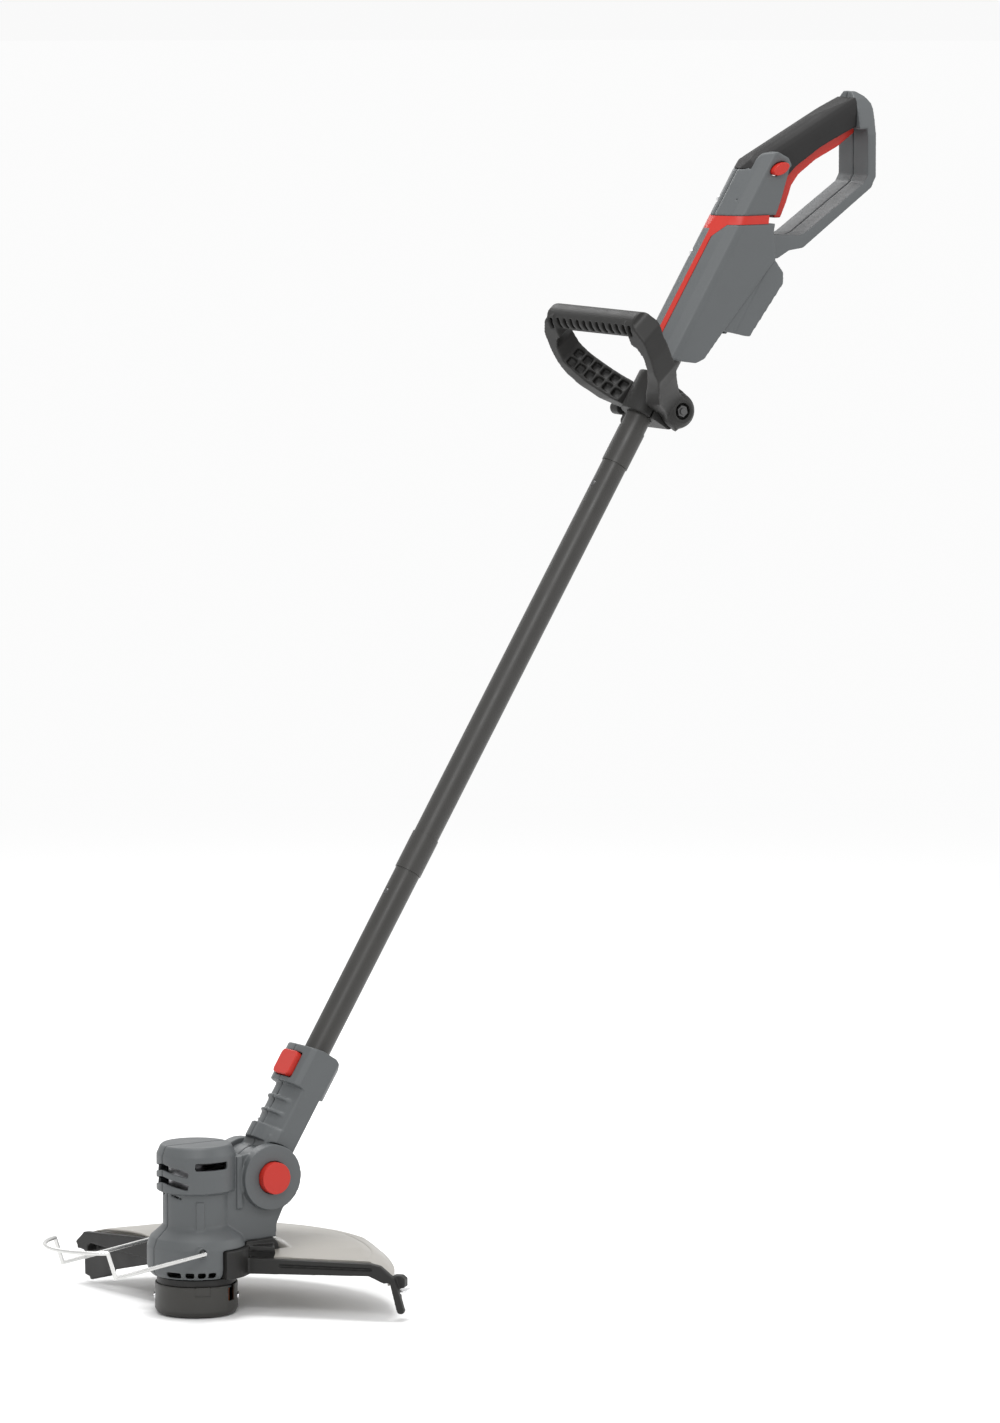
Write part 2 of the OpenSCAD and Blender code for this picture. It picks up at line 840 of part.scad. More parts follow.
module head_shells() {
    difference() {
        head_solid();
        head_cavity();
        vent_slots();
        cross_rod(6, -24, 24, [pivot_x, pivot_z]);
        cross_rod(tilt_button_r + 0.4, -big, -22.5, [pivot_x, pivot_z]);
        cross_rod(10.5, -23, -20.6, [pivot_x, pivot_z]);
        cross_rod(12, 26, big, [pivot_x, pivot_z]);
        for (side = [-1, 1]) cross_rod(wire_r + running, side > 0 ? 36 : -big,
            side > 0 ? big : -36, [wire_pivot.x, wire_pivot.z]);
        translate([52, 0, 76]) {
            cross_rod(1.5, -14, big);
            cross_rod(3, 17, big);
        }
    }
    // Bosses that hold the ends of the plant guard
    for (side = [-1, 1]) difference() {
        cross_rod(5.5, side > 0 ? 36 : -43.5, side > 0 ? 43.5 : -36, [wire_pivot.x, wire_pivot.z]);
        cross_rod(wire_r + running, -big, big, [wire_pivot.x, wire_pivot.z]);
    }
}

module head_shell_left() {
    color(housing_gray) left_half() head_shells();
}

module head_shell_right() {
    color(housing_gray) right_half() head_shells();
}

module head_screws() {
    color(steel) {
        cross_rod(1.5, -13, 17.5, [52, 76]);
        cross_rod(2.9, 17, 19.5, [52, 76]);
    }
}

module pivot_pin() {
    color(steel) cross_rod(6, -22, 23.5, [pivot_x, pivot_z]);
}

module pivot_cap() {
    color(dark_gray) cross_rod(11.8, 26, cheek_y + 0.5, [pivot_x, pivot_z]);
}

module tilt_button() {
    color(red) difference() {
        cross_rod(tilt_button_r, -cheek_y - 6.5, -26.2, [pivot_x, pivot_z]);
        cross_rod(11, -cheek_y - 3.5, -26, [pivot_x, pivot_z]);
    }
}

module tilt_spring() {
    color(steel) translate([pivot_x, -20.7, pivot_z]) rotate([90, 0, 0])
        spring_rings(8, 0.6, 3.6, 3);
}

module motor() {
    color(dark_gray) difference() {
        union() {
            translate([0, 0, 90]) cylinder(r = 25, h = 44);
            translate([0, 0, 87.9]) cylinder(r = 10, h = 3);
            translate([0, 0, 134]) cylinder(r = 9, h = 3);
        }
        translate([0, 0, 80]) cylinder(r = spindle_r + running, h = 80);
    }
}

module motor_mount() {
    color(dark_gray) difference() {
        translate([0, 0, 82.5]) cylinder(r = 28, h = 5.4);
        translate([0, 0, 80]) cylinder(r = 9, h = 10);
    }
}

module motor_bearing() {
    color(steel) difference() {
        translate([0, 0, 82.5]) cylinder(r = 9, h = 5.4);
        translate([0, 0, 80]) cylinder(r = spindle_r + running, h = 10);
    }
}

// ---- guard ----

// A ring sector between two angles, of the outline [r, z]
module sector(from, to) {
    rotate([0, 0, from]) rotate_extrude(angle = to - from, $fn = 96) children();
}

// The far part of the guard steps down towards its end: from, to, step and drop of the rim
far_parts = [[-4, 46, 0, 1.5], [44, 72, 1.6, 2.2], [70, guard_to - 3, 3.1, 3.3]];
shield_wall = 2;

// Top of the shield, [r, z], from its inner edge to its rim. drop lowers the rim.
function shield_top(drop) = [[72, 63], [110, 62], [150, 58], [guard_r - 12, 55.5 - drop / 2],
    [guard_r - 3, 54 - drop], [guard_r, 52 - drop]];
function shield_section(drop) = concat(shield_top(drop), [[guard_r, 45 - drop],
    [guard_r - 2, 45 - drop], [guard_r - 2, 51 - drop], [guard_r - 4, 52 - drop],
    [guard_r - 12, 53.5 - drop / 2], [150, 56], [110, 60], [72, 61]]);

// Everything between two heights over the plane that slopes up from the near beam
module facet(from, to) {
    rotate([0, 0, guard_from]) translate([0, 0, beam_top]) rotate([facet_slope, 0, 0])
        translate([0, -20, from]) cube([big, big, to - from]);
}

// Near part of the shield: a shell under the turned surface and under the sloping plane
module near_shield() {
    drop = 10;
    rim = guard_r - 1.3;
    difference() {
        sector(guard_from + 1, -3) polygon([[72.7, 62.5], [110.7, 61.5], [150.7, 57.5],
            [rim - 12, 55 - drop / 2], [rim - 3, 53.5 - drop], [rim, 51.5 - drop], [rim, 44.5 - drop],
            [72.7, 44.5 - drop]]);
        facet(0, 60);
        intersection() {
            sector(guard_from, -2.5) polygon([[70, 60.5], [110.7, 59.5], [150.7, 55.5],
                [rim - 12, 53 - drop / 2], [rim - 4, 51 - drop], [rim - 2, 50 - drop],
                [rim - 2, 20], [70, 20]]);
            facet(-60, -shield_wall);
        }
        // Strip over the beam
        rotate([0, 0, guard_from]) translate([0, -big, 0]) cube([big, big + beam_w + 0.5, 100]);
    }
}

module guard_shield() {
    color(shield_gray) difference() {
        union() {
            for (part = far_parts) sector(part[0], part[1])
                polygon([for (p = shield_section(part[3])) p - [part[2] / 3, part[2]]]);
            near_shield();
        }
        // Room for the saddle under the neck
        translate([30, -saddle_y - 0.5, 40]) cube([saddle_x + 0.5 - 30, 2 * saddle_y + 1, 40]);
    }
}

module guard_frame() {
    color(black) difference() {
        union() {
            sector(-86, 86) polygon([[39.5, 36], [49, 36], [49, 61.8], [39.5, 61.8]]);
            sector(-38, 8) polygon([[46, 57], [71.4, 56], [71.4, 60.9], [46, 61.8]]);
            for (part = far_parts) translate([0, 0, -part[2]])
                sector(max(5, part[0] - 1.1), part[1] - 2.1)
                    polygon([[46, 57], [88, 55.5], [88, 60.2], [46, 61.8]]);
            // Near beam, its leg, and the block that carries the cutter
            rotate([0, 0, guard_from]) {
                slab(beam_w, beam_w / 2) polygon([[46, 37], [163, 40], [177, 34], [183, 34.5],
                    [189.5, 9], [191, 6.6], [195, 6.6], [196.5, 9.5], [187, 38.7], [173.5, 49.8],
                    [165, beam_top], [46, beam_top]]);
                slab(6, beam_w + 2) polygon([[184, 24], [189, 7], [194, 7], [191, 24]]);
                slab(11, beam_w + 4.5) polygon([[184, 41], [192, 41], [195.5, 38], [195.5, 30],
                    [186, 28]]);
            }
            // Far beam, with a lower plate set back from it
            rotate([0, 0, guard_to]) slab(beam_w, -beam_w / 2) polygon([[46, 37], [163, 40],
                [177, 34], [183, 34.5], [187, 38.7], [173.5, 49.8], [86, 56.8], [46, 59]]);
            rotate([0, 0, guard_to - 4]) slab(4, -2) polygon([[60, 42], [83, 31], [142, 17],
                [142, 13.5], [146, 11], [181, 2], [183, 5], [191, 5.7], [192, 30], [187, 38], [170, 38], [120, 44]]);
            sector(guard_to - 5, guard_to) polygon([[168, 32], [184, 33], [184, 38], [168, 38]]);
            // Saddle under the neck of the head, with a cheek on each side
            slab(2 * saddle_y) polygon([[46, 57], [71, 57], [69.5, 62.6], [46, 62.6]]);
            difference() {
                for (side = [-1, 1]) slab(saddle_y - neck_y - 0.4, side * (saddle_y + neck_y + 0.4) / 2)
                    polygon([[33, 58], [36, 65.6], [65, 66.8], [68, 64], [saddle_x, 55.3], [68.4, 46],
                        [46, 46]]);
                translate([0, 0, guard_z]) cylinder(r = base_r + 0.5, h = 20);
            }
        }
        at_guard_screws() translate([0, 0, 50]) cylinder(r = 1.6, h = 13);
    }
}

module at_guard_screws() {
    for (a = [-20, 20]) rotate([0, 0, a]) translate([60, 0, 0]) children();
}

module guard_screws() {
    color(steel) at_guard_screws() {
        translate([0, 0, 52]) cylinder(r = 1.6, h = 10);
        translate([0, 0, 50.6]) cylinder(r = 3, h = 5.4);
    }
}

// Blade under the block behind the leg
module line_cutter() {
    color(steel) rotate([0, 0, guard_from]) slab(14, beam_w + 7.5) polygon([[187, 25.5], [197, 25.5],
        [197, 27.4], [187, 27.4]]);
}

// ---- plant guard ----

module rod_between(a, b, r) {
    d = b - a;
    translate(a) rotate([0, acos(d.z / norm(d)), atan2(d.y, d.x)]) cylinder(r = r, h = norm(d), $fn = 24);
}

wire_front = [-113, 49.3];
wire_up = [-121, 73];

module wire_guard() {
    color(steel) {
        for (side = [-1, 1]) {
            run = [[wire_pivot.x, side * 37, wire_pivot.z], [wire_pivot.x, side * wire_leg_y, wire_pivot.z],
                [wire_front.x, side * wire_leg_y, wire_front.y], [wire_up.x, side * wire_leg_y, wire_up.y]];
            for (i = [0 : 2]) rod_between(run[i], run[i + 1], wire_r);
            for (i = [1 : 3]) translate(run[i]) sphere(r = wire_r + 0.1, $fn = 24);
        }
        // The top of the wire bulges forward in an arc
        bulge = 30;
        arc_r = (wire_leg_y * wire_leg_y + bulge * bulge) / (2 * bulge);
        arc_half = asin(wire_leg_y / arc_r);
        translate([wire_up.x - bulge + arc_r, 0, wire_up.y]) rotate([0, 0, 180 - arc_half])
            rotate_extrude(angle = 2 * arc_half, $fn = 96) translate([arc_r, 0])
                circle(r = wire_r, $fn = 24);
    }
}

// ---- spool ----

module motor_shaft() {
    color(steel) translate([0, 0, 14]) cylinder(r = spindle_r, h = 133);
}

module cooling_fan() {
    color(black) difference() {
        union() {
            translate([0, 0, 139]) cylinder(r = 8, h = 7);
            translate([0, 0, 139]) cylinder(r = 23, h = 1.2);
            for (a = [0 : 45 : 315]) rotate([0, 0, a]) translate([7, -0.6, 139]) cube([16, 1.2, 6]);
        }
        translate([0, 0, 130]) cylinder(r = spindle_r, h = 30);
    }
}

module spool_hub() {
    color(black) difference() {
        union() {
            translate([0, 0, neck_gap]) cylinder(r = 36, h = 5.5);
            translate([0, 0, 14]) cylinder(r = 9, h = 50);
        }
        translate([0, 0, 10]) cylinder(r = spindle_r, h = 60);
    }
}

module line_spool() {
    color(dark_gray) difference() {
        rotate_extrude() polygon([[9.2, 5], [34, 5], [34, 7], [16, 7], [16, 25], [34, 25],
            [34, 27], [9.2, 27]]);
        translate([0, 0, 4]) cylinder(r = 13, h = 10);
    }
}

module cutting_line() {
    rows = 11;
    layers = 9;
    color([0.85, 0.35, 0.1]) rotate_extrude($fn = 48) for (i = [0 : layers - 1])
        translate([16, 7.1]) square([(i + 1) * line_d, rows * line_d]);
}

module bump_spring() {
    color(steel) translate([0, 0, 4.2]) spring_rings(11, 0.8, 9.6, 4);
}

module spool_cap() {
    color(black) {
        difference() {
            rotate_extrude($fn = 96) polygon([[0, 0], [33, 0], [cap_r - 1.5, 1.6], [cap_r, 5],
                [cap_r, cap_h], [cap_r - 2.2, cap_h], [cap_r - 2.2, 4], [0, 4]]);
            for (a = eyelet_angles) rotate([0, 0, a]) translate([30, 0, 15]) rotate([0, 90, 0])
                cylinder(r = 4, h = 20);
            for (a = [-62, 118]) rotate([0, 0, a]) translate([30, -5, 14]) cube([20, 10, 20]);
        }
        for (a = [-112, 68]) rotate([0, 0, a]) translate([cap_r - 2, -7, 21]) cube([3, 14, 8]);
    }
}

module line_eyelets() {
    color(steel) for (a = eyelet_angles) rotate([0, 0, a]) translate([cap_r - 2.2, 0, 15])
        rotate([0, 90, 0]) difference() {
            cylinder(r = 4, h = 3);
            translate([0, 0, -1]) cylinder(r = 1.6, h = 5);
        }
}

rear_housing_left();
rear_housing_right();
spine_cover();
accent_band();
grip_overmould();
battery_bay();
battery_terminals();
control_board();
trigger_switch();
switch_lever();
housing_screws();
trigger_pin();
trigger();
lock_off_button();
shaft_upper();
shaft_middle();
shaft_lower();
joint_spigots();
snap_button_upper();
snap_button_lower();
wire_harness();
swivel_collar();
clamp_front();
clamp_rear();
front_handle();
handle_nut();
clamp_bolt();
clamp_knob();
coupling_left();
coupling_right();
coupling_screws();
edging_button();
edging_spring();
head_shell_left();
head_shell_right();
head_screws();
pivot_pin();
pivot_cap();
tilt_button();
tilt_spring();
motor();
motor_mount();
motor_bearing();
guard_frame();
guard_shield();
line_cutter();
guard_screws();
wire_guard();
motor_shaft();
cooling_fan();
spool_hub();
line_spool();
cutting_line();
bump_spring();
spool_cap();
line_eyelets();
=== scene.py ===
"""Cordless string trimmer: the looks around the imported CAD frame.

The frame is in metres: the spool turns about Z, +X is the rear and -Y the left side.
Places, camera, lights and textures are in metres too. The shapes' own sizes are in
millimetres, in the frame that each section names.
A moulded part starts from its CAD solid, less its slots, pockets and seams. It is then
remeshed and smoothed, so that every edge gets a moulded radius.
"""
import json
import math

import bmesh
import bpy
from mathutils import Matrix, Vector

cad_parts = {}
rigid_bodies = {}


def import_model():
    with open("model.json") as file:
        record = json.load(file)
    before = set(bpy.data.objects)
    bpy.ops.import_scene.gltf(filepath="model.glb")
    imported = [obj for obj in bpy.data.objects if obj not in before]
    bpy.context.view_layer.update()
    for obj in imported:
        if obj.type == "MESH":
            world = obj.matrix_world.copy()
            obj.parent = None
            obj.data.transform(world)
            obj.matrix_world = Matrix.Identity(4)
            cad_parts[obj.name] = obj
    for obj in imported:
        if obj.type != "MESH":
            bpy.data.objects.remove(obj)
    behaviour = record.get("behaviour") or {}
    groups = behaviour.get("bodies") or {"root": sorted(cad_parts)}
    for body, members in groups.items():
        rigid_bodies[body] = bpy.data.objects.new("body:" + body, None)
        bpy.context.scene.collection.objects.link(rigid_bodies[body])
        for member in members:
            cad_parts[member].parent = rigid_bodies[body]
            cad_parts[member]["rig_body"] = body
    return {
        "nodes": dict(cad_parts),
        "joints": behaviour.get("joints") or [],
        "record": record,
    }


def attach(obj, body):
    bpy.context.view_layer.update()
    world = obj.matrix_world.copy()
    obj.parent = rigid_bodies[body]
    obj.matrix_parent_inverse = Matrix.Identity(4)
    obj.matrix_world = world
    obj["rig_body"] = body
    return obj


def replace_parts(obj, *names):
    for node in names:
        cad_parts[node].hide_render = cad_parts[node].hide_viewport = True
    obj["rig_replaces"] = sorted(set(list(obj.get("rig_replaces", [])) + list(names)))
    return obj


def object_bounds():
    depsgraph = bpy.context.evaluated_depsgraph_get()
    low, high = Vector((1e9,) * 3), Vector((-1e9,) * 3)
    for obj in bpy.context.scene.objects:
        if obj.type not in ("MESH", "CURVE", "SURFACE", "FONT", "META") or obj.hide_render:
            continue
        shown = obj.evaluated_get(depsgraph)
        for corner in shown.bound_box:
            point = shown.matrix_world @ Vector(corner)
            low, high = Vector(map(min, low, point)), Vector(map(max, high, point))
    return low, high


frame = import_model()
cad_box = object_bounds()
nodes = frame["nodes"]
joints = {j["name"]: j for j in frame["joints"]}
scene = bpy.context.scene
MM = 0.001

# ---- places, from the frame ----

PIVOT = Vector(joints["head_tilt"]["pos_m"])
SHAFT_AXIS = Vector(joints["edging_turn"]["axis"]).normalized()
LEAN = math.atan2(SHAFT_AXIS.x, SHAFT_AXIS.z)
SHAFT = Matrix.Translation(PIVOT) @ Matrix.Rotation(LEAN, 4, "Y")
HANDLE_TILT = math.radians(42)
HANDLE = Matrix.Translation(joints["handle_tilt"]["pos_m"]) @ Matrix.Rotation(-HANDLE_TILT, 4, "Y")
GRIP_PLACE = (0.65, 0, 1.04)
GRIP_ANGLE = math.radians(27)
GRIP = Matrix.Translation(GRIP_PLACE) @ Matrix.Rotation(-GRIP_ANGLE, 4, "Y")
WORLD = Matrix.Identity(4)

# ---- camera, light and floor ----

VIEW_AZIMUTH = math.radians(33)
VIEW_HEIGHT = math.radians(6.7)
VIEW_DISTANCE = 7.78
# Height of the picture in metres at the distance of the part, and where its middle lies
FRAME_HEIGHT = 1.2985
SIDEWAYS = 0.27695
UPWARDS = 0.5475
SENSOR = 36
FAR_CLIP = 100

# name, place, aim, diameter in metres, power in watts
LAMPS = [("key", (-1.6, -3.2, 3.4), (0.3, 0, 0.6), 1.6, 60),
         ("fill", (3.4, -2.4, 1.8), (0.4, 0, 0.7), 2.0, 25),
         ("rim", (0.8, 3.6, 2.8), (0.4, 0, 0.7), 1.6, 30),
         ("top", (0.2, 0.2, 4.2), (0.35, 0, 0.5), 1.4, 85)]
SKY_STRENGTH = 0.95
FLOOR_RADIUS = 30
FLOOR_CENTRE = (0.35, 0, 0)
FLOOR_GAP = 0.0005
FLOOR_WHITE = 0.86
# The floor fades from lit white to plain white between these distances from its centre
FADE_FROM, FADE_TO = 0.9, 3.5
FAR_STRENGTH = 0.97


def add_camera():
    right = Vector((math.cos(VIEW_AZIMUTH), -math.sin(VIEW_AZIMUTH), 0))
    back = Vector((-math.sin(VIEW_AZIMUTH) * math.cos(VIEW_HEIGHT),
                   -math.cos(VIEW_AZIMUTH) * math.cos(VIEW_HEIGHT),
                   math.sin(VIEW_HEIGHT)))
    up = back.cross(right)
    target = right * SIDEWAYS + up * UPWARDS
    data = bpy.data.cameras.new("camera")
    data.sensor_fit = "VERTICAL"
    data.sensor_height = SENSOR
    data.lens = SENSOR * VIEW_DISTANCE / FRAME_HEIGHT
    data.clip_end = FAR_CLIP
    camera = bpy.data.objects.new("camera", data)
    camera.matrix_world = Matrix.Translation(target + back * VIEW_DISTANCE) @ Matrix(
        (right, up, back)).transposed().to_4x4()
    scene.collection.objects.link(camera)
    scene.camera = camera


def add_area(name, place, aim, size, power):
    data = bpy.data.lights.new(name, "AREA")
    data.shape = "DISK"
    data.size = size
    data.energy = power
    lamp = bpy.data.objects.new(name, data)
    lamp.location = place
    lamp.rotation_euler = (Vector(aim) - Vector(place)).to_track_quat("-Z", "Y").to_euler()
    scene.collection.objects.link(lamp)


def add_studio():
    world = bpy.data.worlds.new("studio")
    world.use_nodes = True
    background = world.node_tree.nodes["Background"]
    background.inputs["Color"].default_value = (1, 1, 1, 1)
    background.inputs["Strength"].default_value = SKY_STRENGTH
    scene.world = world
    scene.view_settings.view_transform = "Standard"
    for lamp in LAMPS:
        add_area(*lamp)
    bpy.ops.mesh.primitive_circle_add(vertices=96, radius=FLOOR_RADIUS, fill_type="NGON",
                                      location=FLOOR_CENTRE)
    floor = bpy.context.object
    floor.name = "floor"
    floor.location.z = cad_box[0][2] - FLOOR_GAP
    floor.data.materials.append(floor_material())


def floor_material():
    """White near the object, and as bright as the background far from it."""
    mat = bpy.data.materials.new("floor_white")
    mat.use_nodes = True
    tree = mat.node_tree
    near = tree.nodes["Principled BSDF"]
    near.inputs["Base Color"].default_value = (FLOOR_WHITE, FLOOR_WHITE, FLOOR_WHITE, 1)
    near.inputs["Roughness"].default_value = 0.9
    far = tree.nodes.new("ShaderNodeEmission")
    far.inputs["Color"].default_value = (1, 1, 1, 1)
    far.inputs["Strength"].default_value = FAR_STRENGTH
    coords = tree.nodes.new("ShaderNodeTexCoord")
    length = tree.nodes.new("ShaderNodeVectorMath")
    length.operation = "LENGTH"
    tree.links.new(coords.outputs["Object"], length.inputs[0])
    fade = tree.nodes.new("ShaderNodeMapRange")
    fade.interpolation_type = "SMOOTHSTEP"
    fade.inputs["From Min"].default_value = FADE_FROM
    fade.inputs["From Max"].default_value = FADE_TO
    tree.links.new(length.outputs["Value"], fade.inputs["Value"])
    mix = tree.nodes.new("ShaderNodeMixShader")
    tree.links.new(fade.outputs["Result"], mix.inputs["Fac"])
    tree.links.new(near.outputs["BSDF"], mix.inputs[1])
    tree.links.new(far.outputs["Emission"], mix.inputs[2])
    tree.links.new(mix.outputs["Shader"], tree.nodes["Material Output"].inputs["Surface"])
    return mat


# ---- materials ----

# The middle part of a noise texture's values, which is spread over the whole range
NOISE_LOW, NOISE_HIGH = 0.3, 0.7
GLOSS_SPREAD = 0.05


def noise(tree, coords, size, detail=3.0, roughness=0.5):
    """A noise texture whose features are about size metres across."""
    node = tree.nodes.new("ShaderNodeTexNoise")
    node.inputs["Scale"].default_value = 1 / size
    node.inputs["Detail"].default_value = detail
    node.inputs["Roughness"].default_value = roughness
    tree.links.new(coords, node.inputs["Vector"])
    return node.outputs["Fac"]


def blend_colors(tree, factor, low, high):
    """The colour low where factor is 0 and high where it is 1."""
    mix = tree.nodes.new("ShaderNodeMix")
    mix.data_type = "RGBA"
    color_a, color_b, result = mix.inputs[6], mix.inputs[7], mix.outputs[2]
    color_a.default_value = (*low, 1)
    color_b.default_value = (*high, 1)
    tree.links.new(factor, mix.inputs[0])
    return result


def spread(tree, factor, low, high):
    """A noise spread over the range from low to high."""
    node = tree.nodes.new("ShaderNodeMapRange")
    node.inputs["From Min"].default_value = NOISE_LOW
    node.inputs["From Max"].default_value = NOISE_HIGH
    node.inputs["To Min"].default_value = low
    node.inputs["To Max"].default_value = high
    tree.links.new(factor, node.inputs["Value"])
    return node.outputs["Result"]


def surface(name, color, roughness, grain=0.0007, depth=0.05, mottle=0.07, patch=0.03,
            stretch=(1, 1, 1), **sockets):
    """A moulded, coated or drawn surface: patches of colour and gloss, and a fine grain.

    grain and patch are in metres, and depth, the height of the grain, is in millimetres.
    Further sockets of the shader are given by their names in lower case with underscores.
    """
    mat = bpy.data.materials.new(name)
    mat.use_nodes = True
    tree = mat.node_tree
    bsdf = tree.nodes["Principled BSDF"]
    coords = tree.nodes.new("ShaderNodeTexCoord")
    mapping = tree.nodes.new("ShaderNodeMapping")
    mapping.inputs["Scale"].default_value = stretch
    tree.links.new(coords.outputs["Object"], mapping.inputs["Vector"])
    place = mapping.outputs["Vector"]
    patches = noise(tree, place, patch, 4)
    low = [c * (1 - mottle) for c in color]
    high = [min(1, c * (1 + mottle)) for c in color]
    tree.links.new(blend_colors(tree, patches, low, high), bsdf.inputs["Base Color"])
    gloss = spread(tree, patches, roughness - GLOSS_SPREAD, roughness + GLOSS_SPREAD)
    tree.links.new(gloss, bsdf.inputs["Roughness"])
    bump = tree.nodes.new("ShaderNodeBump")
    bump.inputs["Strength"].default_value = 1
    bump.inputs["Distance"].default_value = depth * MM
    tree.links.new(noise(tree, place, grain, 2, 0.6), bump.inputs["Height"])
    tree.links.new(bump.outputs["Normal"], bsdf.inputs["Normal"])
    for name_below, value in sockets.items():
        socket = name_below.replace("_", " ").title().replace("Ior", "IOR")
        bsdf.inputs[socket].default_value = value
    return mat


def make_materials():
    """The material of each slot of the record, and of three looks that have no slot."""
    return {
        "housing_gray": surface("moulded_gray", (0.079, 0.085, 0.088), 0.48, depth=0.03,
                                specular_ior_level=0.4),
        "dark_gray": surface("moulded_dark_gray", (0.045, 0.049, 0.051), 0.5),
        "black_plastic": surface("moulded_black", (0.0105, 0.0102, 0.0095), 0.5, grain=0.0009,
                                 depth=0.08, specular_ior_level=0.35),
        "rubber": surface("soft_rubber", (0.0105, 0.0102, 0.0102), 0.62, grain=0.0006, depth=0.09,
                          mottle=0.12, specular_ior_level=0.3),
        "red": surface("moulded_red", (0.41, 0.022, 0.014), 0.38, depth=0.02, mottle=0.04,
                       specular_ior_level=0.3),
        "tube": surface("black_powder_coat", (0.024, 0.023, 0.021), 0.42, grain=0.0009,
                        depth=0.02, mottle=0.12, patch=0.02),
        "steel": surface("bright_steel", (0.72, 0.72, 0.73), 0.24, grain=0.0004, depth=0.01,
                         mottle=0.03, metallic=1.0),
        "shield": surface("smoke_shield", (0.33, 0.313, 0.283), 0.36, grain=0.0015, depth=0.03,
                          mottle=0.05, transmission_weight=0.15),
        "copper": surface("contact_brass", (0.72, 0.48, 0.22), 0.3, metallic=1.0),
        "board": surface("board_green", (0.02, 0.10, 0.045), 0.4),
        "line": surface("line_orange", (0.75, 0.2, 0.05), 0.4),
        "motor_can": surface("motor_can", (0.25, 0.25, 0.26), 0.35, metallic=1.0),
        "wire": surface("white_plated_wire", (0.60, 0.60, 0.59), 0.25, grain=0.0004, depth=0.01,
                        mottle=0.02, metallic=0.9),
        "dark_steel": surface("blackened_steel", (0.09, 0.09, 0.09), 0.4, grain=0.0004, depth=0.01,
                              metallic=0.8),
        "spool_black": surface("spool_black", (0.021, 0.020, 0.017), 0.45, grain=0.0009,
                               depth=0.06),
    }


# ---- mesh tools ----

SAME_POINT = 1e-6
SMOOTH_FACTOR = 0.5
# Share of the faces that stay after a remesh
FACES_KEPT = 0.35
SHARP = math.radians(35)
node_slot = {s["node"]: s["material_slot"] for s in frame["record"]["subparts"]}


def new_object(name, mesh):
    """An object with this mesh, linked to the scene."""
    obj = bpy.data.objects.new(name, mesh)
    scene.collection.objects.link(obj)
    return obj


def forget_normals(mesh):
    """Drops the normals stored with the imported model, so that modifiers can make their own."""
    if "custom_normal" in mesh.attributes:
        mesh.attributes.remove(mesh.attributes["custom_normal"])


def solid_of(*names):
    """A new object with a closed copy of one or more CAD nodes."""
    mesh = bpy.data.meshes.new(names[0])
    bm = bmesh.new()
    for name in names:
        bm.from_mesh(nodes[name].data)
    bmesh.ops.remove_doubles(bm, verts=bm.verts, dist=SAME_POINT)
    bm.to_mesh(mesh)
    bm.free()
    forget_normals(mesh)
    return new_object(names[0] + "_look", mesh)


def settle(obj):
    """Applies every modifier of obj to its mesh."""
    graph = bpy.context.evaluated_depsgraph_get()
    mesh = bpy.data.meshes.new_from_object(obj.evaluated_get(graph), depsgraph=graph)
    obj.modifiers.clear()
    obj.data = mesh
    return obj


def round_off(obj, place, voxel, passes):
    """Rounds every edge of obj: remeshed along the axes of place, smoothed and thinned."""
    obj.data.transform(place.inverted())
    remesh = obj.modifiers.new("remesh", "REMESH")
    remesh.mode = "VOXEL"
    remesh.voxel_size = voxel
    smooth = obj.modifiers.new("smooth", "SMOOTH")
    smooth.factor = SMOOTH_FACTOR
    smooth.iterations = passes
    thin = obj.modifiers.new("thin", "DECIMATE")
    thin.ratio = FACES_KEPT
    settle(obj)
    obj.data.transform(place)
    obj.data.shade_smooth()
    return obj


def cut(obj, cutter):
    """Takes the cutter out of obj, and removes the cutter."""
    mod = obj.modifiers.new("cut", "BOOLEAN")
    mod.operation = "DIFFERENCE"
    mod.solver = "EXACT"
    mod.object = cutter
    settle(obj)
    bpy.data.objects.remove(cutter)
    return obj


def stands_for(obj, *names, look=None):
    """obj is the look of these CAD nodes: it takes their body and material slot."""
    slot = node_slot[names[0]]
    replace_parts(obj, *names)
    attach(obj, nodes[names[0]]["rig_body"])
    obj.data.materials.clear()
    obj.data.materials.append(materials[look or slot])
    normals = obj.modifiers.new("normals", "WEIGHTED_NORMAL")
    normals.keep_sharp = True
    return obj


def prisms(outlines, low, high, place=WORLD):
    """One object of closed prisms: each outline, [x, z] in millimetres, from y low to y high."""
    bm = bmesh.new()
    for outline in outlines:
        near = [bm.verts.new((x * MM, low * MM, z * MM)) for x, z in outline]
        far = [bm.verts.new((x * MM, high * MM, z * MM)) for x, z in outline]
        bm.faces.new(near)
        bm.faces.new(far[::-1])
        for i in range(len(near)):
            j = (i + 1) % len(near)
            bm.faces.new((near[i], near[j], far[j], far[i]))
    bmesh.ops.recalc_face_normals(bm, faces=bm.faces)
    bm.transform(place)
    mesh = bpy.data.meshes.new("prisms")
    bm.to_mesh(mesh)
    bm.free()
    return new_object("prisms", mesh)


def block(x0, x1, z0, z1):
    """The outline of a rectangle."""
    return [(x0, z0), (x1, z0), (x1, z1), (x0, z1)]


def disc(x, z, radius, count=28):
    """The outline of a circle."""
    turns = [2 * math.pi * i / count for i in range(count)]
    return [(x + radius * math.cos(t), z + radius * math.sin(t)) for t in turns]


